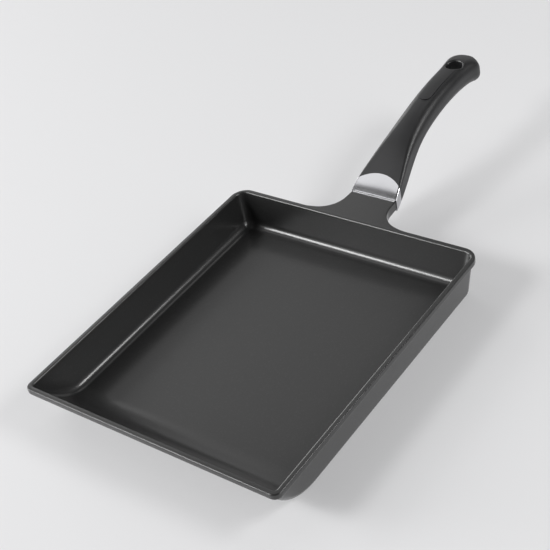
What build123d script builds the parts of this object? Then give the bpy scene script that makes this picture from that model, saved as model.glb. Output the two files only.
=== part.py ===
from build123d import *
import math
import os

os.makedirs("parts", exist_ok=True)

# Tamagoyaki pan: a rectangular cast tray with a fixed phenolic handle, in millimetres.
# The origin is the centre of the flat base. +X runs across the tray, +Y to the handle, +Z up.

# Tray
rim_width = 190.0
rim_length = 219.4
pan_height = 28.5
lip_width = 3.5
lip_height = 4.6
lip_overhang = 1.5
lip_top_round = 0.8
lip_under_round = 1.5
lip_inner_bevel = 0.9
back_corner = 11.0
front_corner = 5.0
hollow_corner = 6.0
wall_lean = 3.8
inner_wall_lean = 3.9
floor_thickness = 3.0
outer_edge_radius = 4.2
inner_edge_radius = 5.0
front_sweep = 36.5

# Neck and tang, cast with the tray
neck_length = 25.7
neck_end_width = 34.4
neck_root_width = 37.0
neck_foot_width = 94.0
neck_shoulder = 4.6
neck_foot_depth = 2.5
neck_thickness = 8.0
neck_fillet = 18.0
neck_top_round = 0.8
neck_under_round = 2.0
tang_angle = 28.4
tang_length = 46.0
tang_root = 2.5
tang_width = 18.0
tang_thickness = 5.2
tang_taper = 1.5
tang_clearance = 0.3

# Grip, at the stations of its outline
grip_length = 134.7
grip_rise = 34.0
grip_width = 24.0
grip_thickness = 16.0
tail_round = 3.0

# Flame guard
guard_sheet = 0.7
guard_side_length = 6.3
guard_tongue = 6.3
guard_clearance = 0.15

# Hang hole and the tongue round it
hang_hole_diameter = 11.5
hang_hole_from_end = 19.5
hang_hole_round = 1.2
tongue_length = 44.0
tongue_width = 8.8
tongue_eye_wall = 2.4
tongue_rise = 0.6
tongue_depth = 3.4
tongue_clearance = 0.1

# Screw joint through the underside of the grip
screw_along_tang = 36.0
screw_diameter = 4.0
screw_length = 8.0
screw_head_diameter = 7.6
screw_head_height = 2.2
screw_head_round = 0.9
cross_width = 1.1
cross_length = 4.4
cross_depth = 1.3
screw_seat_wall = 1.9
screw_hole_clearance = 0.25
thread_clearance = 0.05
flat_washer_diameter = 9.0
flat_washer_thickness = 0.8
spring_washer_diameter = 7.4
spring_washer_thickness = 0.9
spring_washer_slot = 0.8
washer_clearance = 0.15
counterbore_clearance = 0.3
insert_diameter = 6.0
insert_recess = 0.4

# Past the surface that a cut starts from
cut_overrun = 20.0

# One row for each station of the grip, front to tail: how far along it is, how high its top is,
# its thickness, its width, its corner radius as a share of half the thickness, and how much its top
# is domed, as a share of its width
grip_station_shares = (
    (0.000, 0.029, 0.575, 1.475, 0.26, 0.002),
    (0.056, 0.182, 0.713, 1.415, 0.30, 0.006),
    (0.131, 0.356, 0.869, 1.265, 0.38, 0.020),
    (0.227, 0.561, 0.994, 1.067, 0.50, 0.045),
    (0.331, 0.731, 0.978, 0.938, 0.74, 0.065),
    (0.524, 0.934, 0.981, 0.850, 0.88, 0.080),
    (0.732, 1.018, 0.975, 0.862, 0.90, 0.080),
    (0.851, 1.026, 1.025, 0.915, 0.90, 0.075),
    (0.910, 1.022, 1.075, 1.005, 0.90, 0.070),
    (0.955, 0.991, 1.100, 1.025, 0.88, 0.065),
    (0.984, 0.963, 1.025, 0.800, 0.86, 0.060),
    (1.000, 0.918, 0.800, 0.525, 0.84, 0.050),
)

# How much of its rise the tongue has at the same stations
tongue_rise_shares = (1.0, 1.0, 1.0, 1.0, 1.0, 1.0, 0.35, 0.0, 0.0, 0.0, 0.0, 0.0)

# Places worked out from the sizes above
rim_back = rim_length / 2
neck_end = rim_back + neck_length
grip_end = neck_end + grip_length
hang_hole_y = grip_end - hang_hole_from_end
tongue_floor = pan_height + grip_rise - tongue_depth
tang_direction = Vector(0, math.cos(math.radians(tang_angle)), math.sin(math.radians(tang_angle)))
down_direction = Vector(0, tang_direction.Z, -tang_direction.Y)
tang_start = Vector(0, neck_end, pan_height - neck_thickness / 2)
screw_centre = tang_start + tang_direction * screw_along_tang
seat_at = tang_thickness / 2 + screw_seat_wall
spring_at = seat_at + flat_washer_thickness
head_at = spring_at + spring_washer_thickness


def rim_outline(level):
    """The outline of the rim: wide corners at the handle, narrow ones at the front."""
    with BuildSketch(Plane.XY.offset(level)) as outline:
        Rectangle(rim_width, rim_length)
        fillet(outline.vertices().group_by(Axis.Y)[-1], radius=back_corner)
        fillet(outline.vertices().sort_by(Axis.Y)[:2], radius=front_corner)
    return outline.sketch


def tray_form(level, top_in, lean, sweep_radius, corner, edge):
    """A tray-shaped block from a level to the rim: leaning walls, a swept front, rounded edges."""
    height = pan_height - level
    base_in = top_in + lean
    front = top_in - rim_length / 2
    flat_end = front + math.sqrt(sweep_radius**2 - (sweep_radius - height) ** 2)
    with BuildPart() as form:
        with BuildSketch(Plane((0, -base_in / 2, level))):
            Rectangle(rim_width - 2 * base_in, rim_length - base_in)
        extrude(amount=height, taper=-math.degrees(math.atan2(lean, height)))
        with BuildSketch(Plane.YZ):
            with BuildLine():
                RadiusArc((flat_end, level), (front, pan_height), sweep_radius)
                Polyline(
                    (front, pan_height),
                    (front, pan_height + cut_overrun),
                    (front - cut_overrun, pan_height + cut_overrun),
                    (front - cut_overrun, level - cut_overrun),
                    (flat_end, level - cut_overrun),
                    (flat_end, level),
                )
            make_face()
        extrude(amount=rim_width, both=True, mode=Mode.SUBTRACT)
        upright = form.edges().filter_by_position(Axis.Z, level + height / 3, pan_height - height / 3)
        fillet(upright.sort_by(Axis.Y)[-2:], radius=corner)
        flat_edges = form.faces().sort_by(Axis.Z)[0].edges().sort_by(Axis.Y)[1:]
        front_edges = form.faces().sort_by(Axis.Y)[0].edges().filter_by(Axis.X, reverse=True)
        fillet(flat_edges + front_edges, radius=edge)
    return form.part


def grip_outlines(inset, rise):
    """Cross-sections of the grip, drawn in by the inset, with the tongue's rise added to their tops."""
    outlines = []
    for station, rise_share in zip(grip_station_shares, tongue_rise_shares):
        along, top, thick, wide, corner, domed = station
        thickness = grip_thickness * thick - 2 * inset
        side = grip_width * wide / 2 - inset
        dome = side * domed
        radius = max(grip_thickness * thick / 2 * corner - inset, inset)
        top_z = pan_height + grip_rise * top - inset + rise * rise_share
        centre = (0, neck_end + grip_length * along, top_z)
        with BuildSketch(Plane(centre, x_dir=(-1, 0, 0), z_dir=(0, 1, 0))) as outline:
            with BuildLine():
                ThreePointArc((-side, -dome), (0, dome), (side, -dome))
                Polyline((side, -dome), (side, -thickness), (-side, -thickness), (-side, -dome))
            make_face()
            fillet(outline.vertices(), radius=radius)
        outlines.append(outline.sketch)
    return outlines


def guard_plan():
    """The flame guard seen from above: straight at the neck, a D-shaped arc at the grip."""
    half = grip_width * grip_station_shares[0][3] / 2
    side_y = neck_end + guard_side_length
    with BuildSketch() as plan:
        with BuildLine():
            ThreePointArc((-half, side_y), (0, side_y + guard_tongue), (half, side_y))
            Polyline(
                (half, side_y),
                (half + cut_overrun, side_y),
                (half + cut_overrun, neck_end),
                (-half - cut_overrun, neck_end),
                (-half - cut_overrun, side_y),
                (-half, side_y),
            )
        make_face()
    return plan.sketch


def tongue_plan(grow):
    """The tongue and its eye seen from above, grown by a clearance."""
    eye = hang_hole_diameter / 2 + tongue_eye_wall
    nose = tongue_width / 2
    with BuildSketch(Plane((0, hang_hole_y, tongue_floor))) as plan:
        Circle(eye + grow)
        with Locations((0, nose - tongue_length)):
            Circle(nose + grow)
        with Locations((0, (nose - tongue_length) / 2)):
            Rectangle(tongue_width + 2 * grow, tongue_length - nose)
    return plan.sketch


def on_screw_axis(distance):
    """A plane square to the screw, at a distance below the middle of the tang."""
    return Plane(screw_centre + down_direction * distance, x_dir=(1, 0, 0), z_dir=down_direction)


# The tray's outside, its hollow and the lip round it
tray_outside = tray_form(
    0,
    lip_overhang,
    wall_lean,
    front_sweep,
    back_corner - lip_overhang,
    outer_edge_radius,
)
tray_hollow = tray_form(
    floor_thickness,
    lip_width,
    inner_wall_lean,
    front_sweep - floor_thickness,
    hollow_corner,
    inner_edge_radius,
)
with BuildPart() as rim_lip:
    extrude(rim_outline(pan_height - lip_height), amount=lip_height)
    fillet(rim_lip.faces().sort_by(Axis.Z)[-1].edges(), radius=lip_top_round)
    fillet(rim_lip.faces().sort_by(Axis.Z)[0].edges(), radius=lip_under_round)

# The neck that carries the handle
with BuildPart() as neck:
    with BuildSketch(Plane.XY.offset(pan_height - neck_thickness)) as neck_plan:
        with BuildLine():
            Polyline(
                (-neck_end_width / 2, neck_end),
                (-neck_root_width / 2, rim_back + neck_shoulder),
                (-neck_foot_width / 2, rim_back - neck_foot_depth),
                (-neck_foot_width / 2, rim_back - lip_width),
                (neck_foot_width / 2, rim_back - lip_width),
                (neck_foot_width / 2, rim_back - neck_foot_depth),
                (neck_root_width / 2, rim_back + neck_shoulder),
                (neck_end_width / 2, neck_end),
                close=True,
            )
        make_face()
        shoulders = neck_plan.vertices().filter_by_position(Axis.Y, rim_back, rim_back + neck_length / 2)
        fillet(shoulders, radius=neck_fillet)
    extrude(amount=neck_thickness)
    for side, radius in ((-1, neck_top_round), (0, neck_under_round)):
        flat_edges = neck.edges().group_by(Axis.Z)[side]
        fillet(flat_edges.filter_by_position(Axis.Y, rim_back, neck_end - neck_under_round), radius=radius)

# Tray, lip, neck and tang: one casting
with BuildPart() as pan_body:
    add(tray_outside)
    add(rim_lip.part)
    add(neck.part)
    add(tray_hollow, mode=Mode.SUBTRACT)
    tang_plane = Plane(tang_start - tang_direction * tang_root, x_dir=(1, 0, 0), z_dir=tang_direction)
    with BuildSketch(tang_plane):
        Rectangle(tang_width, tang_thickness)
    extrude(amount=tang_root + tang_length, taper=tang_taper)
    with BuildSketch(on_screw_axis(-tang_thickness)):
        Circle(insert_diameter / 2)
    extrude(amount=2 * tang_thickness, mode=Mode.SUBTRACT)
    rim_top = pan_body.faces().filter_by(Plane.XY).sort_by(Axis.Z)[-1]
    chamfer(rim_top.inner_wires()[0].edges(), length=lip_inner_bevel)

pan_body.part.label = "pan_body"
export_step(pan_body.part, "parts/pan_body.step")

# Flame guard: a sheet sleeve between the neck and the grip
with BuildPart() as flame_guard:
    loft(sections=grip_outlines(0, 0))
    loft(sections=grip_outlines(guard_sheet, 0), mode=Mode.SUBTRACT)
    extrude(guard_plan(), amount=2 * pan_height + grip_rise, mode=Mode.INTERSECT)

flame_guard.part.label = "flame_guard"
export_step(flame_guard.part, "parts/flame_guard.step")

# Grip: the outside form, narrower inside the guard, hollow where the tang goes
with BuildPart() as guard_seat:
    loft(sections=grip_outlines(guard_sheet + guard_clearance, 0))

with BuildPart() as handle_grip:
    loft(sections=grip_outlines(0, 0))
    tail_face = handle_grip.faces().filter_by(Plane.XZ).sort_by(Axis.Y)[-1]
    fillet(tail_face.edges(), radius=tail_round)
    extrude(guard_plan(), amount=2 * pan_height + grip_rise, mode=Mode.SUBTRACT)
    add(guard_seat.part)
    socket_plane = Plane(
        tang_start - tang_direction * cut_overrun - down_direction * (tang_clearance / 2),
        x_dir=(1, 0, 0),
        z_dir=tang_direction,
    )
    with BuildSketch(socket_plane):
        Rectangle(tang_width + 2 * tang_clearance, tang_thickness + tang_clearance)
    extrude(amount=cut_overrun + tang_length + tang_clearance, mode=Mode.SUBTRACT)
    with BuildSketch(on_screw_axis(0)):
        Circle(screw_diameter / 2 + screw_hole_clearance)
    extrude(amount=cut_overrun, mode=Mode.SUBTRACT)
    with BuildSketch(on_screw_axis(seat_at)):
        Circle(flat_washer_diameter / 2 + counterbore_clearance)
    extrude(amount=cut_overrun, mode=Mode.SUBTRACT)
    extrude(tongue_plan(tongue_clearance), amount=cut_overrun, mode=Mode.SUBTRACT)
    with BuildSketch(Plane((0, hang_hole_y, 0))):
        Circle(hang_hole_diameter / 2)
    extrude(amount=2 * pan_height + grip_rise, mode=Mode.SUBTRACT)
    hole_edges = handle_grip.edges(Select.LAST).filter_by(GeomType.LINE, reverse=True)
    fillet(hole_edges.filter_by_position(Axis.Z, pan_height, tongue_floor - hang_hole_round), radius=hang_hole_round)

handle_grip.part.label = "handle_grip"
export_step(handle_grip.part, "parts/handle_grip.step")

# Tongue and eye of the hang hole, let into the top of the tail
with BuildPart() as hang_hole_insert:
    loft(sections=grip_outlines(0, tongue_rise))
    extrude(tongue_plan(0), amount=cut_overrun, mode=Mode.INTERSECT)
    with BuildSketch(Plane((0, hang_hole_y, 0))):
        Circle(hang_hole_diameter / 2)
    extrude(amount=2 * pan_height + grip_rise, mode=Mode.SUBTRACT)
    eye_edges = hang_hole_insert.edges(Select.LAST).filter_by(GeomType.LINE, reverse=True)
    eye_edges = eye_edges.filter_by_position(Axis.Z, tongue_floor + hang_hole_round, tongue_floor + cut_overrun)
    fillet(eye_edges, radius=hang_hole_round)

hang_hole_insert.part.label = "hang_hole_insert"
export_step(hang_hole_insert.part, "parts/hang_hole_insert.step")

# Steel thread bush pressed into the tang
with BuildPart() as thread_insert:
    with BuildSketch(on_screw_axis(-tang_thickness / 2 + insert_recess)):
        Circle(insert_diameter / 2)
        Circle(screw_diameter / 2 + thread_clearance, mode=Mode.SUBTRACT)
    extrude(amount=tang_thickness - insert_recess)

thread_insert.part.label = "thread_insert"
export_step(thread_insert.part, "parts/thread_insert.step")

# Flat washer, on the phenolic
with BuildPart() as flat_washer:
    with BuildSketch(on_screw_axis(seat_at)):
        Circle(flat_washer_diameter / 2)
        Circle(screw_diameter / 2 + washer_clearance, mode=Mode.SUBTRACT)
    extrude(amount=flat_washer_thickness)

flat_washer.part.label = "flat_washer"
export_step(flat_washer.part, "parts/flat_washer.step")

# Spring washer, flat under load, with its slot
with BuildPart() as spring_washer:
    with BuildSketch(on_screw_axis(spring_at)):
        Circle(spring_washer_diameter / 2)
        Circle(screw_diameter / 2 + washer_clearance, mode=Mode.SUBTRACT)
        with Locations((spring_washer_diameter / 2, 0)):
            Rectangle(spring_washer_diameter, spring_washer_slot, mode=Mode.SUBTRACT)
    extrude(amount=spring_washer_thickness)

spring_washer.part.label = "spring_washer"
export_step(spring_washer.part, "parts/spring_washer.step")

# Pan-head screw with a cross slot
with BuildPart() as handle_screw:
    with BuildSketch(on_screw_axis(head_at)):
        Circle(screw_head_diameter / 2)
    extrude(amount=screw_head_height)
    fillet(handle_screw.faces().sort_by(Axis.Z)[0].edges(), radius=screw_head_round)
    with BuildSketch(on_screw_axis(head_at + screw_head_height)):
        Rectangle(cross_length, cross_width)
        Rectangle(cross_width, cross_length)
    extrude(amount=-cross_depth, mode=Mode.SUBTRACT)
    with BuildSketch(on_screw_axis(head_at)):
        Circle(screw_diameter / 2)
    extrude(amount=-screw_length)

handle_screw.part.label = "handle_screw"
export_step(handle_screw.part, "parts/handle_screw.step")
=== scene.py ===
"""A tamagoyaki pan, dressed for its picture.

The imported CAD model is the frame. The black casting is built again here as one smooth surface.
The guard, the grip, the tongue of the hang hole and the screw joint keep their CAD shapes and get
their finishes. Every length is in metres, and every piece is in the frame of the CAD.
"""

import math
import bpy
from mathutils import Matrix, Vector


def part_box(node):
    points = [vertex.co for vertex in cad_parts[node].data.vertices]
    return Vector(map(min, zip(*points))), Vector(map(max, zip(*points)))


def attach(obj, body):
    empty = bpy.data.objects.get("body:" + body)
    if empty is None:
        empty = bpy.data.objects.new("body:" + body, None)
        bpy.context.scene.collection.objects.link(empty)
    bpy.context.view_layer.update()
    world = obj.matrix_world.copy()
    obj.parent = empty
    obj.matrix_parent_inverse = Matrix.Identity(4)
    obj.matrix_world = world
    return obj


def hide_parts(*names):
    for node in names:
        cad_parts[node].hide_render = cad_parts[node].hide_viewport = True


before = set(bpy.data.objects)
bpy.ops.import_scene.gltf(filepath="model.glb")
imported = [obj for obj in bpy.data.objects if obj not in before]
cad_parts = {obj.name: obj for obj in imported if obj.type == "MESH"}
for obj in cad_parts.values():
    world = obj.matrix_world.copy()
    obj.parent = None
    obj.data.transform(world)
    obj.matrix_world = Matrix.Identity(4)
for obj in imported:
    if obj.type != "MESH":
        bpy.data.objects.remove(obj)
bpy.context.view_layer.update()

from types import SimpleNamespace

import bpy
import numpy as np
from bpy.props import FloatProperty, FloatVectorProperty, PointerProperty
from mathutils import Matrix, Vector

bl_info = {
    "name": "Tamagoyaki Pan",
    "version": (1, 0, 0),
    "blender": (4, 5, 0),
    "location": "View3D > Sidebar > Pan",
    "description": "Builds and finishes a rectangular omelette pan round its packed CAD model",
    "category": "Add Mesh",
}

MM = 0.001
BODY = "root"

casting_low, casting_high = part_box("pan_body")

# Of the casting: how far below the neck's underside the outer wall's even rows start, what share
# of the foot the neck's thickness waits before it grows, and from which angle an edge is sharp.
WALL_START = 1.5 * MM
NECK_LAG = 0.25
SHARP_ANGLE = math.radians(50)

# How many points each stretch of the casting's loops has, and how many rows each round and wall.
COUNTS = SimpleNamespace(front=13, corner=25, side=17, lip=5, shoulder=15, neck=4, end=7)
ROWS = SimpleNamespace(
    hollow_fillet=17, hollow_wall=14, lip_inner=9, lip_top=6, lip_under=8, base_fillet=13, outer_wall=7
)
TANG_STEPS = 12

# How rough the grip and the tongue are on average, and how far the clouds vary it.
GRIP_ROUGHNESS = 0.42
TONGUE_ROUGHNESS = 0.38
ROUGHNESS_SPREAD = 0.04

# Of the stage: the even light from all round, how much of the paper's colour the camera and the
# mirrors see on top of the light on it, how far the paper reaches from the pan, and how far it
# lies below the base, so that the two flats don't flicker into each other.
STUDIO_LIGHT = 0.07
PAPER_GLOW = 0.5
PAPER_REACH = 12.0
PAPER_DROP = 0.1 * MM

# Sockets that are asked for by number, because their names occur more than once on the node.
MIX_SHARE, MIX_FIRST, MIX_SECOND, MIX_RESULT = 0, 6, 7, 2
MATH_FIRST, MATH_SECOND = 0, 1


def linear(code):
    """The linear red, green, blue and alpha of an sRGB hex colour such as #1b1b1c."""
    share = np.array([int(code[i : i + 2], 16) for i in (1, 3, 5)]) / 255
    value = np.where(share <= 0.04045, share / 12.92, ((share + 0.055) / 1.055) ** 2.4)
    return (*value.tolist(), 1.0)


def length(name, description, size):
    """A length that a user can change, with its default in metres."""
    return FloatProperty(
        name=name, description=description, default=size, min=0.0, unit="LENGTH", subtype="DISTANCE"
    )


def colour(name, description, code):
    """A colour that a user can change, with its default as an sRGB hex code."""
    return FloatVectorProperty(
        name=name, description=description, default=linear(code), size=4, min=0.0, max=1.0, subtype="COLOR"
    )


class PanSizes(bpy.types.PropertyGroup):
    """Sizes of the casting, which are those of the CAD model."""

    rim_width: length("Rim width", "Width over the lip", casting_high.x - casting_low.x)
    rim_length: length("Rim length", "Length over the lip", -2 * casting_low.y)
    height: length("Height", "From the base to the rim", 28.5 * MM)
    lip_width: length("Lip width", "From the outer edge of the lip to the hollow", 3.5 * MM)
    lip_height: length("Lip height", "Height of the lip's outer face", 4.6 * MM)
    lip_overhang: length("Lip overhang", "How far the lip stands out from the wall", 1.5 * MM)
    lip_top_round: length("Lip top round", "Radius along the lip's outer top edge", 0.8 * MM)
    lip_under_round: length("Lip under round", "Radius along the lip's lower edge", 1.5 * MM)
    lip_inner_round: length("Lip inner round", "Radius where the lip turns down into the hollow", 1.25 * MM)
    back_corner: length("Back corner", "Radius of the two corners at the handle", 11.0 * MM)
    front_corner: length("Front corner", "Radius of the two corners at the front", 5.0 * MM)
    hollow_corner: length("Hollow corner", "Radius of the hollow's two corners at the handle", 6.0 * MM)
    hollow_front: length("Hollow front", "Radius of the hollow's front corners at the rim", 2.0 * MM)
    wall_lean: length("Wall lean", "How far the outside leans out from base to rim", 3.8 * MM)
    inner_lean: length("Inner lean", "How far the hollow leans out from floor to rim", 3.9 * MM)
    floor: length("Floor", "Thickness of the floor", 3.0 * MM)
    outer_edge: length("Outer edge", "Radius between the base and the walls", 4.2 * MM)
    inner_edge: length("Inner edge", "Radius between the floor and the walls", 5.0 * MM)
    front_sweep: length("Front sweep", "Radius of the front wall's outside", 36.5 * MM)
    neck_length: length("Neck length", "From the rim to the flame guard", 25.7 * MM)
    neck_end_width: length("Neck end width", "Width of the neck at the guard", 34.4 * MM)
    neck_root_width: length("Neck root width", "Width of the neck at its shoulders", 37.0 * MM)
    neck_foot_width: length("Neck foot width", "Width of the neck inside the lip", 94.0 * MM)
    neck_shoulder: length("Neck shoulder", "How far the shoulders are behind the rim", 4.6 * MM)
    neck_foot_depth: length("Neck foot depth", "How far the foot runs into the lip", 2.5 * MM)
    neck_thickness: length("Neck thickness", "Thickness of the neck", 8.0 * MM)
    neck_fillet: length("Neck fillet", "Radius in the neck's shoulders", 18.0 * MM)
    foot_fillet: length("Foot fillet", "Radius where the neck leaves the lip", 30.0 * MM)
    neck_under_round: length("Neck under round", "Radius along the neck's lower edge", 2.0 * MM)
    tang_length: length("Tang length", "From the neck to the end of the tang", 46.0 * MM)
    tang_root: length("Tang root", "How far the tang starts inside the neck", 2.5 * MM)
    tang_width: length("Tang width", "Width of the tang", 18.0 * MM)
    tang_thickness: length("Tang thickness", "Thickness of the tang", 5.2 * MM)
    bush_along: length("Bush place", "From the neck to the bore for the thread bush", 36.0 * MM)
    bush_bore: length("Bush bore", "Diameter of the bore for the thread bush", 6.0 * MM)
    tang_angle: FloatProperty(
        name="Tang angle",
        description="How steeply the tang rises into the grip",
        default=math.radians(28.4),
        subtype="ANGLE",
        unit="ROTATION",
    )


class PanFinishes(bpy.types.PropertyGroup):
    """Colours of the finishes."""

    nonstick: colour("Nonstick", "The coating's black", "#212121")
    speckle: colour("Speckle", "The fine flakes in the coating", "#282828")
    steel: colour("Steel", "The flame guard's steel", "#cfcfd2")
    phenolic: colour("Phenolic", "The grip's black", "#161617")
    flow: colour("Flow", "The lighter clouds in the moulded resin", "#1f1f21")
    zinc: colour("Zinc", "The plating of the screw and washers", "#b9bbc2")
    backdrop: colour("Backdrop", "The paper that the pan stands on", "#bbbbbc")


def joined(*parts):
    """Arrays of rows laid side by side along the rim, each widened to the same number of rows."""
    rows = max(part.shape[0] for part in parts)
    return np.concatenate([np.broadcast_to(part, (rows, part.shape[1])) for part in parts], axis=1)


def mirrored(half):
    """A closed loop from its right half: the same points with x turned round follow in reverse."""
    back = half[:, -2:0:-1] * np.array([-1.0, 1.0, 1.0])
    return np.concatenate([half, back], axis=1)


def tray_form(sizes, level, top_in, lean, sweep, corner, edge, rim_edge):
    """What the hollow and the outside of the tray have in common: leaning walls and a swept front.

    level is the height of the flat, and top_in is how far the form's upper edge lies inside the
    lip's. square is the cosine of the wall's lean: a length square to the wall, divided by it, is
    the length along the level. The sweep ends on the flat sqrt(s^2 - (s - h)^2) behind the front.
    """
    height = sizes.height - level
    slope = lean / height
    front = top_in - sizes.rim_length / 2
    return SimpleNamespace(
        level=level,
        height=height,
        rim_edge=rim_edge,
        slope=slope,
        square=math.cos(math.atan(slope)),
        half_width=sizes.rim_width / 2 - top_in - lean,
        half_length=sizes.rim_length / 2 - top_in - lean,
        flat_end=front + math.sqrt(sweep**2 - (sweep - height) ** 2),
        sweep=sweep,
        corner=corner,
        edge=edge,
    )


def tray_half(form, rise, back_share):
    """The right half of the tray's level lines, from the middle of the front to the middle of the back.

    rise is the height over the form's flat, one row for each line. A wall stands at w + k*rise from
    the middle, where k is its slope, and the floor's fillet brings it in by
    b = e - sqrt(e^2 - max(0, e - rise)^2). The front lies on a circle of radius s, so it is
    sqrt(s^2 - (s - rise)^2) ahead of the flat. In the front corner a point at angle t is e(1 - cos t)
    from the side wall and e(1 - sin t) from the front, which is a ball of radius e rolled along both.
    Over the floor's fillet the ball gets smaller, down to its radius at the rim.
    """
    side_u, corner_u = np.linspace(0, 1, COUNTS.side)[None], np.linspace(0, 1, COUNTS.corner)[None]
    front_u = np.linspace(0, 1, COUNTS.front)[None]
    spans = np.cumsum([0, COUNTS.front, COUNTS.corner, COUNTS.side, COUNTS.corner, back_share.shape[1]])
    parts = [rise[:, a:b] if rise.shape[1] > 1 else rise for a, b in zip(spans[:-1], spans[1:])]

    def walls(part):
        lean = form.slope * part
        bite = form.edge - np.sqrt(form.edge**2 - np.clip(form.edge - part, 0, form.edge) ** 2)
        return form.half_width + lean, form.half_length + lean, bite / form.square

    def ahead(reach, part):
        return np.sqrt(np.clip(reach**2 - (form.sweep - part) ** 2, 0, None))

    def ball(part):
        climbed = smooth_step((part - form.edge) / (form.height - form.edge))
        return form.edge + (form.rim_edge - form.edge) * climbed

    half, _, _ = walls(parts[0])
    reach = half - ball(parts[0]) / form.square
    front = (front_u * reach, form.flat_end - ahead(form.sweep, parts[0]) + 0 * front_u)

    half, _, _ = walls(parts[1])
    start = np.arcsin(np.clip(1 - parts[1] / form.edge, 0, 1))
    turn = math.pi / 2 + (start - math.pi / 2) * corner_u
    off_side, off_front = ball(parts[1]) * (1 - np.cos(turn)), ball(parts[1]) * (1 - np.sin(turn))
    front_corner = (half - off_side / form.square, form.flat_end - ahead(form.sweep - off_front, parts[1]))

    half, back, bite = walls(parts[2])
    y_start = form.flat_end - ahead(form.sweep - ball(parts[2]), parts[2])
    y_end = back - form.corner / form.square
    side = (half - bite + 0 * side_u, y_start + (y_end - y_start) * side_u)

    half, back, bite = walls(parts[3])
    middle, radius = form.corner / form.square, form.corner / form.square - bite
    angle = corner_u * math.pi / 2
    back_corner = (half - middle + radius * np.cos(angle), back - middle + radius * np.sin(angle))

    half, back, bite = walls(parts[4])
    behind = (back_share * (half - form.corner / form.square), back - bite + 0 * back_share)

    x = joined(*(part[0] for part in (front, front_corner, side, back_corner, behind)))
    y = joined(*(part[1] for part in (front, front_corner, side, back_corner, behind)))
    return np.stack([x, y, np.broadcast_to(form.level + rise, x.shape)], axis=2)


def corner_arc(before, corner, after, radius, share):
    """Points of the arc that rounds a corner: its centre is radius from both lines, and it starts
    radius * tan(turn / 2) before the corner and turns by the angle between the lines."""
    first, second = corner - before, after - corner
    first, second = first / np.linalg.norm(first), second / np.linalg.norm(second)
    turn = math.atan2(first[0] * second[1] - first[1] * second[0], first @ second)
    side = np.array([-first[1], first[0]]) * math.copysign(1, turn)
    centre = corner - first * radius * math.tan(abs(turn) / 2) + side * radius
    angle = turn * share[:, None]
    spoke = -side * radius
    return centre + spoke * np.cos(angle) + np.array([-spoke[1], spoke[0]]) * np.sin(angle)


def crossing(point, direction, other_point, other_direction):
    """Where two lines in the plan cross."""
    shares = np.linalg.solve(np.stack([direction, -other_direction], axis=1), other_point - point)
    return point + direction * shares[0]


def rim_half(sizes, inset):
    """The right half of the outer edge seen from above, drawn in by inset.

    It runs along straight lines and quarter circles round the lip's rectangle, and at the back
    along the foot, the flank and the end of the neck, whose corners are rounded by corner_arc.
    """
    wide, long = sizes.rim_width / 2, sizes.rim_length / 2
    end = long + sizes.neck_length
    angle = np.linspace(0, 1, COUNTS.corner) * math.pi / 2

    def arc(x, y, radius, start):
        return np.stack([x + radius * np.cos(angle + start), y + radius * np.sin(angle + start)], axis=1)

    def line(start, stop, count):
        return start + (stop - start) * np.linspace(0, 1, count)[:, None]

    front_centre = wide - sizes.front_corner
    front = line(np.array([0, inset - long]), np.array([front_centre, inset - long]), COUNTS.front)
    front_corner = arc(front_centre, sizes.front_corner - long, sizes.front_corner - inset, -math.pi / 2)
    back_centre = wide - sizes.back_corner
    side = line(
        np.array([wide - inset, sizes.front_corner - long]),
        np.array([wide - inset, long - sizes.back_corner]),
        COUNTS.side,
    )
    back_corner = arc(back_centre, long - sizes.back_corner, sizes.back_corner - inset, 0)

    foot = np.array([sizes.neck_foot_width / 2, long - sizes.neck_foot_depth])
    root = np.array([sizes.neck_root_width / 2, long + sizes.neck_shoulder])
    tip = np.array([sizes.neck_end_width / 2, end])
    slant = (root - foot) / np.linalg.norm(root - foot)
    flank = (tip - root) / np.linalg.norm(tip - root)
    slant_point = foot + np.array([-slant[1], slant[0]]) * inset
    flank_point = root + np.array([-flank[1], flank[0]]) * inset
    rim_line, rim_way = np.array([back_centre, long - inset]), np.array([-1.0, 0.0])
    foot_corner = crossing(rim_line, rim_way, slant_point, slant)
    root_corner = crossing(slant_point, slant, flank_point, flank)
    end_corner = crossing(flank_point, flank, np.array([0, end]), np.array([1.0, 0.0]))
    share = np.linspace(0, 1, COUNTS.shoulder)
    foot_arc = corner_arc(rim_line, foot_corner, root_corner, sizes.foot_fillet + inset, share)
    root_arc = corner_arc(foot_corner, root_corner, end_corner, sizes.neck_fillet + inset, share)
    behind = [
        line(rim_line, foot_arc[0], COUNTS.lip)[:-1],
        foot_arc,
        root_arc,
        line(root_arc[-1], end_corner, COUNTS.neck)[1:],
        line(end_corner, np.array([0, end]), COUNTS.end)[1:],
    ]
    return np.concatenate([front, front_corner, side, back_corner, *behind])


def smooth_step(share):
    """0 up to share 0, 1 from share 1, and 3s^2 - 2s^3 between."""
    share = np.clip(share, 0, 1)
    return share * share * (3 - 2 * share)


def grid_faces(rows, columns):
    """Four-cornered faces between neighbouring rows of closed loops, facing the outside of a
    surface whose loops run anticlockwise while its rows go outwards and down."""
    row, column = np.meshgrid(np.arange(rows - 1), np.arange(columns), indexing="ij")
    right = (column + 1) % columns
    here, there = row * columns, (row + 1) * columns
    corners = np.stack([here + column, there + column, there + right, here + right], axis=2)
    return corners.reshape(-1, 4)


def cap_faces(loop, centre, flip):
    """Triangles from a closed loop of vertex numbers to the vertex in its middle."""
    after = np.roll(loop, -1)
    ends = (after, loop) if flip else (loop, after)
    return np.stack([*ends, np.full_like(loop, centre)], axis=1)


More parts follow.
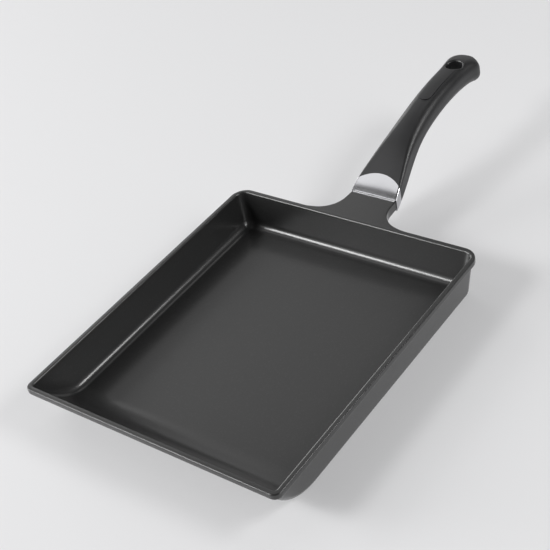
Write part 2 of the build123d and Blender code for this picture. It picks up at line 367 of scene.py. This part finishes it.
def add_piece(name, points, faces, material):
    """A smooth-shaded mesh whose flat faces stay flat, riding on the pan."""
    mesh = bpy.data.meshes.new(name)
    mesh.from_pydata(points.tolist(), [], faces)
    mesh.shade_smooth()
    mesh.set_sharp_from_angle(angle=SHARP_ANGLE)
    mesh.materials.append(material)
    piece = bpy.data.objects.new(name, mesh)
    bpy.context.scene.collection.objects.link(piece)
    weighted = piece.modifiers.new("Flats stay flat", "WEIGHTED_NORMAL")
    weighted.keep_sharp = True
    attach(piece, BODY)
    return piece


def casting_surface(sizes):
    """The tray, its lip and its neck as one surface of closed loops.

    The loops start round the floor, climb the hollow, turn over the lip, follow the neck's outline
    down to its underside, and go down the outside to the base. Along each loop the points match, so
    a row and a column give each point. The lip's rounds are quarter circles: drawn in by
    r(1 - cos a) at a height r(1 - sin a) from the flat.
    """
    edge_path = rim_half(sizes, 0.0)
    inwards = (rim_half(sizes, MM) - edge_path) / MM
    behind = edge_path[COUNTS.front + 2 * COUNTS.corner + COUNTS.side :, 0]
    back_share = (behind / (sizes.rim_width / 2 - sizes.back_corner))[None]

    hollow = tray_form(
        sizes,
        sizes.floor,
        sizes.lip_width,
        sizes.inner_lean,
        sizes.front_sweep - sizes.floor,
        sizes.hollow_corner,
        sizes.inner_edge,
        sizes.hollow_front,
    )
    outside = tray_form(
        sizes,
        0.0,
        sizes.lip_overhang,
        sizes.wall_lean,
        sizes.front_sweep,
        sizes.back_corner - sizes.lip_overhang,
        sizes.outer_edge,
        sizes.outer_edge,
    )

    def climb(edge, top, fillet_rows, wall_rows):
        """Heights up a wall: by equal angles round the fillet, then by equal steps."""
        fillet = edge * (1 - np.cos(np.linspace(0, math.pi / 2, fillet_rows)))
        return np.concatenate([fillet, np.linspace(edge, top, wall_rows)[1:]])[:, None]

    inner_top = sizes.height - sizes.lip_inner_round
    up = climb(hollow.edge, inner_top - sizes.floor, ROWS.hollow_fillet, ROWS.hollow_wall)
    inside = mirrored(tray_half(hollow, up, back_share))

    rim = inside[-1]
    along = np.roll(rim, -1, axis=0) - np.roll(rim, 1, axis=0)
    outwards = np.stack([along[:, 1], -along[:, 0]], axis=1) / np.linalg.norm(along[:, :2], axis=1)[:, None]
    turn = np.linspace(0, math.pi / 2, ROWS.lip_inner)[1:, None, None]
    shift = sizes.lip_inner_round * (1 - np.cos(turn)) * outwards
    lift = inner_top + sizes.lip_inner_round * np.sin(turn) + 0 * shift[:, :, :1]
    over = np.concatenate([rim[:, :2] + shift, lift], axis=2)

    foot_reach = sizes.neck_foot_width / 2 - np.abs(edge_path[:, 0])
    necked = smooth_step(foot_reach / (sizes.neck_foot_width - sizes.neck_root_width) * 2 - NECK_LAG)
    necked = necked * (edge_path[:, 1] > sizes.rim_length / 2 - MM)
    deep = sizes.lip_height + (sizes.neck_thickness - sizes.lip_height) * necked
    under_round = sizes.lip_under_round + (sizes.neck_under_round - sizes.lip_under_round) * necked

    top_turn = np.linspace(math.pi / 2, 0, ROWS.lip_top)[:, None]
    top_in = sizes.lip_top_round * (1 - np.cos(top_turn)) + 0 * deep
    top_z = sizes.height - sizes.lip_top_round * (1 - np.sin(top_turn)) + 0 * deep
    low_turn = np.linspace(0, math.pi / 2, ROWS.lip_under)[:, None]
    low_in = under_round * (1 - np.cos(low_turn))
    low_z = sizes.height - deep + under_round * (1 - np.sin(low_turn))
    drawn_in = np.concatenate([top_in, low_in])
    lip_z = np.concatenate([top_z, low_z])
    lip_xy = edge_path[None] + drawn_in[:, :, None] * inwards[None]
    lip = mirrored(np.concatenate([lip_xy, lip_z[:, :, None]], axis=2))

    joint = (sizes.height - deep)[None]
    wall_top = sizes.height - sizes.neck_thickness - WALL_START
    down = climb(outside.edge, wall_top, ROWS.base_fillet, ROWS.outer_wall)[::-1]
    wall = mirrored(tray_half(outside, np.concatenate([joint, down + 0 * joint]), back_share))

    loops = np.concatenate([inside, over, lip, wall])
    rows, columns = loops.shape[:2]
    points = np.concatenate([loops.reshape(-1, 3), [[0, 0, sizes.floor], [0, 0, 0]]])
    first, last = np.arange(columns), np.arange(columns) + (rows - 1) * columns
    faces = grid_faces(rows, columns).tolist()
    faces += cap_faces(first, rows * columns, False).tolist()
    faces += cap_faces(last, rows * columns + 1, True).tolist()
    return points, faces


def tang_surface(sizes):
    """The tang: a flat bar with a bore, which rises at the tang's angle.

    Each of the four loops goes round once: the bore's top edge, the bar's outline on top, the same
    below, and the bore's lower edge. A point of the bore lies at its radius from its middle, on the
    line to the matching point of the outline.
    """
    long, wide = sizes.tang_root + sizes.tang_length, sizes.tang_width / 2
    bore_at = sizes.tang_root + sizes.bush_along
    steps = np.linspace(0, 1, TANG_STEPS, endpoint=False)
    corners = np.array([[0, -wide], [long, -wide], [long, wide], [0, wide]])
    ends = np.roll(corners, -1, axis=0)
    outline = (corners[:, None] + (ends - corners)[:, None] * steps[None, :, None]).reshape(-1, 2)
    spoke = outline - np.array([bore_at, 0])
    bore = np.array([bore_at, 0]) + spoke / np.linalg.norm(spoke, axis=1)[:, None] * sizes.bush_bore / 2
    half = sizes.tang_thickness / 2
    flat = np.stack([bore, outline, outline, bore])
    level = np.array([half, half, -half, -half])[:, None] + 0 * flat[:, :, 0]
    way = np.array([0, math.cos(sizes.tang_angle), math.sin(sizes.tang_angle)])
    up = np.array([0, -way[2], way[1]])
    start = np.array([0, sizes.rim_length / 2 + sizes.neck_length, sizes.height - sizes.neck_thickness / 2])
    along = flat[:, :, :1] - sizes.tang_root
    across = flat[:, :, 1:] * np.array([-1.0, 0, 0])
    points = (start + along * way + across + level[:, :, None] * up).reshape(-1, 3)
    columns = len(outline)
    faces = grid_faces(4, columns)
    closing = grid_faces(2, columns)
    closing = np.where(closing < columns, closing + 3 * columns, closing - columns)
    return points, np.concatenate([faces, closing]).tolist()


def put(tree, kind, inputs, settings=None):
    """Adds a node: an input given a socket is linked to it, any other input is set to its value."""
    node = tree.nodes.new(kind)
    for name, value in (settings or {}).items():
        setattr(node, name, value)
    for name, value in inputs.items():
        if isinstance(value, bpy.types.NodeSocket):
            tree.links.new(value, node.inputs[name])
        else:
            node.inputs[name].default_value = value
    return node


def new_material(name, slot_colour):
    """A material and its node tree, still empty, with the colour that the viewport shows."""
    material = bpy.data.materials.new(name)
    material.use_nodes = True
    material.diffuse_color = slot_colour
    tree = material.node_tree
    tree.nodes.clear()
    return material, tree


def finish_material(tree, shader):
    """Links the shader to the material's output."""
    put(tree, "ShaderNodeOutputMaterial", {"Surface": shader.outputs[0]})


def grains(size):
    """How many grains of a size in metres a texture has in one metre."""
    return 1 / size


def nonstick_on_cast_aluminium(finishes):
    """PTFE nonstick, sprayed on a grit-blasted aluminium casting and baked."""
    # Satin black: a wide soft sheen from the blasted metal's pebble, and over it a thin clear film
    # that draws the lamps as crisp lines along the rounded edges. Tiny flakes are a little lighter,
    # and the spraying leaves clouds some 35 mm across in the sheen. The pebble is about 0.3 mm on
    # the real pan and is drawn at 0.9 mm, and the flakes of 0.2 mm at 1.3 mm, so that they show.
    material, tree = new_material("nonstick_on_cast_aluminium", finishes.nonstick)
    place = put(tree, "ShaderNodeTexCoord", {}).outputs["Object"]
    pebble = put(tree, "ShaderNodeTexNoise", {"Vector": place, "Scale": grains(0.9 * MM), "Detail": 2.0})
    flakes = put(tree, "ShaderNodeTexNoise", {"Vector": place, "Scale": grains(1.3 * MM), "Detail": 1.0})
    flake_mask = put(
        tree, "ShaderNodeMapRange", {"Value": flakes.outputs[0], "From Min": 0.56, "From Max": 0.72}
    )
    tone = put(
        tree,
        "ShaderNodeMix",
        {
            MIX_SHARE: flake_mask.outputs[0],
            MIX_FIRST: tuple(finishes.nonstick),
            MIX_SECOND: tuple(finishes.speckle),
        },
        {"data_type": "RGBA"},
    )
    clouds = put(tree, "ShaderNodeTexNoise", {"Vector": place, "Scale": grains(35 * MM), "Detail": 3.0})
    satin = put(tree, "ShaderNodeMapRange", {"Value": clouds.outputs[0], "To Min": 0.38, "To Max": 0.46})
    bump = put(
        tree, "ShaderNodeBump", {"Height": pebble.outputs[0], "Strength": 0.25, "Distance": 0.03 * MM}
    )
    shader = put(
        tree,
        "ShaderNodeBsdfPrincipled",
        {
            "Base Color": tone.outputs[MIX_RESULT],
            "Roughness": satin.outputs[0],
            "IOR": 1.4,
            "Normal": bump.outputs[0],
            "Coat Weight": 0.9,
            "Coat Roughness": 0.2,
            "Coat IOR": 1.5,
        },
    )
    finish_material(tree, shader)
    return material


def polished_stainless_sheet(finishes):
    """Stainless steel sheet, drawn to a sleeve and polished."""
    # Bright, with the softboxes as soft blurred bands and a faint grain round the sleeve. Its lines
    # are about 0.05 mm apart on the real one and are drawn at 0.25 mm, so that they show.
    material, tree = new_material("polished_stainless_sheet", finishes.steel)
    place = put(tree, "ShaderNodeTexCoord", {}).outputs["Object"]
    stretched = put(tree, "ShaderNodeMapping", {"Vector": place, "Scale": (0.05, 1.0, 1.0)})
    grain = put(
        tree,
        "ShaderNodeTexNoise",
        {"Vector": stretched.outputs[0], "Scale": grains(0.25 * MM), "Detail": 2.0},
    )
    satin = put(tree, "ShaderNodeMapRange", {"Value": grain.outputs[0], "To Min": 0.14, "To Max": 0.2})
    bump = put(
        tree, "ShaderNodeBump", {"Height": grain.outputs[0], "Strength": 0.05, "Distance": 0.01 * MM}
    )
    shader = put(
        tree,
        "ShaderNodeBsdfPrincipled",
        {
            "Base Color": tuple(finishes.steel),
            "Metallic": 1.0,
            "Roughness": satin.outputs[0],
            "Normal": bump.outputs[0],
        },
    )
    finish_material(tree, shader)
    return material


def moulded_phenolic(finishes, name, roughness):
    """Phenolic resin, pressed in a vapour-blasted mould."""
    # Dense satin black: a soft highlight, a very fine matt grain and faint clouds where the resin
    # flowed, about 14 mm across. The grain is about 0.1 mm on the real grip and is drawn at 0.6 mm,
    # so that it shows.
    material, tree = new_material(name, finishes.phenolic)
    place = put(tree, "ShaderNodeTexCoord", {}).outputs["Object"]
    grain = put(tree, "ShaderNodeTexNoise", {"Vector": place, "Scale": grains(0.6 * MM), "Detail": 3.0})
    clouds = put(tree, "ShaderNodeTexNoise", {"Vector": place, "Scale": grains(14 * MM), "Detail": 4.0})
    tone = put(
        tree,
        "ShaderNodeMix",
        {
            MIX_SHARE: clouds.outputs[0],
            MIX_FIRST: tuple(finishes.phenolic),
            MIX_SECOND: tuple(finishes.flow),
        },
        {"data_type": "RGBA"},
    )
    satin = put(
        tree,
        "ShaderNodeMapRange",
        {
            "Value": clouds.outputs[0],
            "To Min": roughness - ROUGHNESS_SPREAD,
            "To Max": roughness + ROUGHNESS_SPREAD,
        },
    )
    bump = put(
        tree, "ShaderNodeBump", {"Height": grain.outputs[0], "Strength": 0.25, "Distance": 0.02 * MM}
    )
    shader = put(
        tree,
        "ShaderNodeBsdfPrincipled",
        {
            "Base Color": tone.outputs[MIX_RESULT],
            "Roughness": satin.outputs[0],
            "IOR": 1.6,
            "Normal": bump.outputs[0],
        },
    )
    finish_material(tree, shader)
    return material


def zinc_plated_steel(finishes):
    """Zinc-plated steel, as screws and washers are sold."""
    # Cool grey metal with a soft shine, in patches of about a millimetre.
    material, tree = new_material("zinc_plated_steel", finishes.zinc)
    place = put(tree, "ShaderNodeTexCoord", {}).outputs["Object"]
    patches = put(tree, "ShaderNodeTexNoise", {"Vector": place, "Scale": grains(1.2 * MM), "Detail": 3.0})
    satin = put(tree, "ShaderNodeMapRange", {"Value": patches.outputs[0], "To Min": 0.3, "To Max": 0.45})
    shader = put(
        tree,
        "ShaderNodeBsdfPrincipled",
        {"Base Color": tuple(finishes.zinc), "Metallic": 1.0, "Roughness": satin.outputs[0]},
    )
    finish_material(tree, shader)
    return material


def backdrop_paper(finishes):
    """Seamless backdrop paper: pale, quite matt, with a faint tooth."""
    # The camera and the mirrors see it lighter than the lamps make it, so the background is as pale
    # as in the photograph while the pan gets no more light. The tooth is about 0.5 mm on real paper
    # and is drawn at 1.5 mm, so that it shows.
    material, tree = new_material("backdrop_paper", finishes.backdrop)
    place = put(tree, "ShaderNodeTexCoord", {}).outputs["Object"]
    tooth = put(tree, "ShaderNodeTexNoise", {"Vector": place, "Scale": grains(1.5 * MM), "Detail": 2.0})
    bump = put(
        tree, "ShaderNodeBump", {"Height": tooth.outputs[0], "Strength": 0.05, "Distance": 0.02 * MM}
    )
    rays = put(tree, "ShaderNodeLightPath", {}).outputs
    seen = put(
        tree,
        "ShaderNodeMath",
        {MATH_FIRST: rays["Is Camera Ray"], MATH_SECOND: rays["Is Glossy Ray"]},
        {"operation": "MAXIMUM"},
    )
    seen = put(
        tree,
        "ShaderNodeMath",
        {MATH_FIRST: seen.outputs[0], MATH_SECOND: rays["Is Transmission Ray"]},
        {"operation": "MAXIMUM"},
    )
    glow = put(
        tree,
        "ShaderNodeMath",
        {MATH_FIRST: seen.outputs[0], MATH_SECOND: PAPER_GLOW},
        {"operation": "MULTIPLY"},
    )
    shader = put(
        tree,
        "ShaderNodeBsdfPrincipled",
        {
            "Base Color": tuple(finishes.backdrop),
            "Roughness": 0.9,
            "IOR": 1.4,
            "Normal": bump.outputs[0],
            "Emission Color": tuple(finishes.backdrop),
            "Emission Strength": glow.outputs[0],
        },
    )
    finish_material(tree, shader)
    return material


def dress(node, material):
    """Gives a CAD piece its finish, in place of the plain one that it was packed with."""
    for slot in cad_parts[node].material_slots:
        slot.link = "OBJECT"
        slot.material = material


class PAN_OT_casting(bpy.types.Operator):
    """Build the tray, its lip, its neck and the tang inside the grip"""

    bl_idname = "pan.casting"
    bl_label = "Casting"

    def execute(self, context):
        sizes, finishes = context.scene.pan_sizes, context.scene.pan_finishes
        points, faces = casting_surface(sizes)
        tang_points, tang_faces = tang_surface(sizes)
        faces += [[corner + len(points) for corner in face] for face in tang_faces]
        points = np.concatenate([points, tang_points])
        material = nonstick_on_cast_aluminium(finishes)
        piece = add_piece("pan_casting", points, faces, material)
        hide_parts("pan_body")
        return {"FINISHED"}


class PAN_OT_guard(bpy.types.Operator):
    """Finish the flame guard between the neck and the grip"""

    bl_idname = "pan.guard"
    bl_label = "Flame guard"

    def execute(self, context):
        dress("flame_guard", polished_stainless_sheet(context.scene.pan_finishes))
        return {"FINISHED"}


class PAN_OT_grip(bpy.types.Operator):
    """Finish the grip and the tongue let into its tail"""

    bl_idname = "pan.grip"
    bl_label = "Grip"

    def execute(self, context):
        finishes = context.scene.pan_finishes
        grip = moulded_phenolic(finishes, "moulded_phenolic", GRIP_ROUGHNESS)
        dress("handle_grip", grip)
        tongue = moulded_phenolic(finishes, "moulded_phenolic_tongue", TONGUE_ROUGHNESS)
        dress("hang_hole_insert", tongue)
        return {"FINISHED"}


class PAN_OT_fasteners(bpy.types.Operator):
    """Finish the screw, its washers and the thread bush"""

    bl_idname = "pan.fasteners"
    bl_label = "Screw joint"

    def execute(self, context):
        material = zinc_plated_steel(context.scene.pan_finishes)
        for node in ("thread_insert", "handle_screw", "flat_washer", "spring_washer"):
            dress(node, material)
        return {"FINISHED"}


# The camera of the photograph, from the fit of the pan's outlines: where it stands, and its right,
# up and back.
CAMERA_PLACE = (0.4181, -0.4069, 0.5094)
CAMERA_RIGHT = Vector((0.79742574, 0.57533532, -0.18193806))
CAMERA_UP = Vector((-0.24888655, 0.58827174, 0.76941006))
CAMERA_BACK = Vector((0.5496978, -0.56826545, 0.61229625))
CAMERA_LENS = 81.48
CAMERA_SENSOR = 36.0

# The softboxes of the photograph's studio, as its highlights and shadows suggest them: where each
# one stands, its width and height in metres, and how bright its cloth is, where 1 is white.
LAMPS = (
    ("key_front_left", (-1.02, -1.16, 1.17), (0.62, 0.5), 19.6),
    ("key_back_right", (0.95, 0.42, 0.87), (0.6, 0.3), 12.3),
    ("fill_right", (2.2, 0.0, 0.75), (1.1, 1.3), 2.4),
    ("fill_left_front", (-2.2, -1.1, 0.75), (1.1, 1.3), 11.0),
    ("fill_left_back", (-2.2, 1.1, 0.75), (1.1, 1.3), 3.3),
    ("fill_front", (-1.1, -2.2, 0.75), (1.1, 1.3), 0.6),
    ("fill_back", (-0.55, 2.2, 0.75), (2.2, 1.3), 0.47),
    ("overhead_middle", (-0.9, -0.12, 1.5), (0.5, 0.9), 1.1),
    ("overhead_back", (-1.3, 1.15, 1.5), (1.0, 1.0), 0.55),
    ("overhead_strip", (-0.3, 1.05, 1.5), (0.5, 0.8), 0.94),
)


def add_softbox(name, place, size, radiance):
    """A softbox that faces the pan: a cloth of area A and radiance L sends out pi * A * L watts."""
    data = bpy.data.lights.new(name, "AREA")
    data.shape, data.size, data.size_y = "RECTANGLE", size[0], size[1]
    data.energy = math.pi * size[0] * size[1] * radiance
    lamp = bpy.data.objects.new(name, data)
    lamp.location = place
    lamp.rotation_mode = "QUATERNION"
    lamp.rotation_quaternion = Vector(place).to_track_quat("Z", "Y")
    bpy.context.scene.collection.objects.link(lamp)


class PAN_OT_stage(bpy.types.Operator):
    """Set the camera, the backdrop and the soft studio light"""

    bl_idname = "pan.stage"
    bl_label = "Stage"

    def execute(self, context):
        scene = context.scene
        scene.view_settings.view_transform = "Standard"

        data = bpy.data.cameras.new("camera")
        data.sensor_width = CAMERA_SENSOR
        data.lens = CAMERA_LENS
        camera = bpy.data.objects.new("camera", data)
        turn = Matrix((CAMERA_RIGHT, CAMERA_UP, CAMERA_BACK)).transposed().to_4x4()
        camera.matrix_world = Matrix.Translation(CAMERA_PLACE) @ turn
        scene.collection.objects.link(camera)
        scene.camera = camera

        world = bpy.data.worlds.new("studio")
        world.use_nodes = True
        tree = world.node_tree
        tree.nodes.clear()
        sky = put(tree, "ShaderNodeBackground", {"Color": linear("#ffffff"), "Strength": STUDIO_LIGHT})
        put(tree, "ShaderNodeOutputWorld", {"Surface": sky.outputs[0]})
        scene.world = world

        mesh = bpy.data.meshes.new("floor")
        quarters = ((-1, -1), (1, -1), (1, 1), (-1, 1))
        corners = [(x * PAPER_REACH, y * PAPER_REACH, -PAPER_DROP) for x, y in quarters]
        mesh.from_pydata(corners, [], [(0, 1, 2, 3)])
        mesh.materials.append(backdrop_paper(scene.pan_finishes))
        floor = bpy.data.objects.new("floor", mesh)
        scene.collection.objects.link(floor)

        for name, place, size, radiance in LAMPS:
            add_softbox(name, place, size, radiance)
        return {"FINISHED"}


class PAN_PT_sidebar(bpy.types.Panel):
    """Lists the pan's sizes, finishes and pieces"""

    bl_label = "Tamagoyaki Pan"
    bl_idname = "PAN_PT_sidebar"
    bl_space_type = "VIEW_3D"
    bl_region_type = "UI"
    bl_category = "Pan"

    def draw(self, context):
        layout = self.layout
        for operator in OPERATORS:
            layout.operator(operator.bl_idname)
        for group in (context.scene.pan_sizes, context.scene.pan_finishes):
            column = layout.column(align=True)
            for name in group.__annotations__:
                column.prop(group, name)


OPERATORS = (PAN_OT_casting, PAN_OT_guard, PAN_OT_grip, PAN_OT_fasteners, PAN_OT_stage)
CLASSES = (PanSizes, PanFinishes, *OPERATORS, PAN_PT_sidebar)


def register():
    for cls in CLASSES:
        bpy.utils.register_class(cls)
    bpy.types.Scene.pan_sizes = PointerProperty(type=PanSizes)
    bpy.types.Scene.pan_finishes = PointerProperty(type=PanFinishes)


def unregister():
    del bpy.types.Scene.pan_finishes
    del bpy.types.Scene.pan_sizes
    for cls in reversed(CLASSES):
        bpy.utils.unregister_class(cls)


def main():
    """Builds the stage and the pan."""
    register()
    bpy.ops.pan.stage()
    bpy.ops.pan.casting()
    bpy.ops.pan.guard()
    bpy.ops.pan.grip()
    bpy.ops.pan.fasteners()


if __name__ == "__main__":
    main()
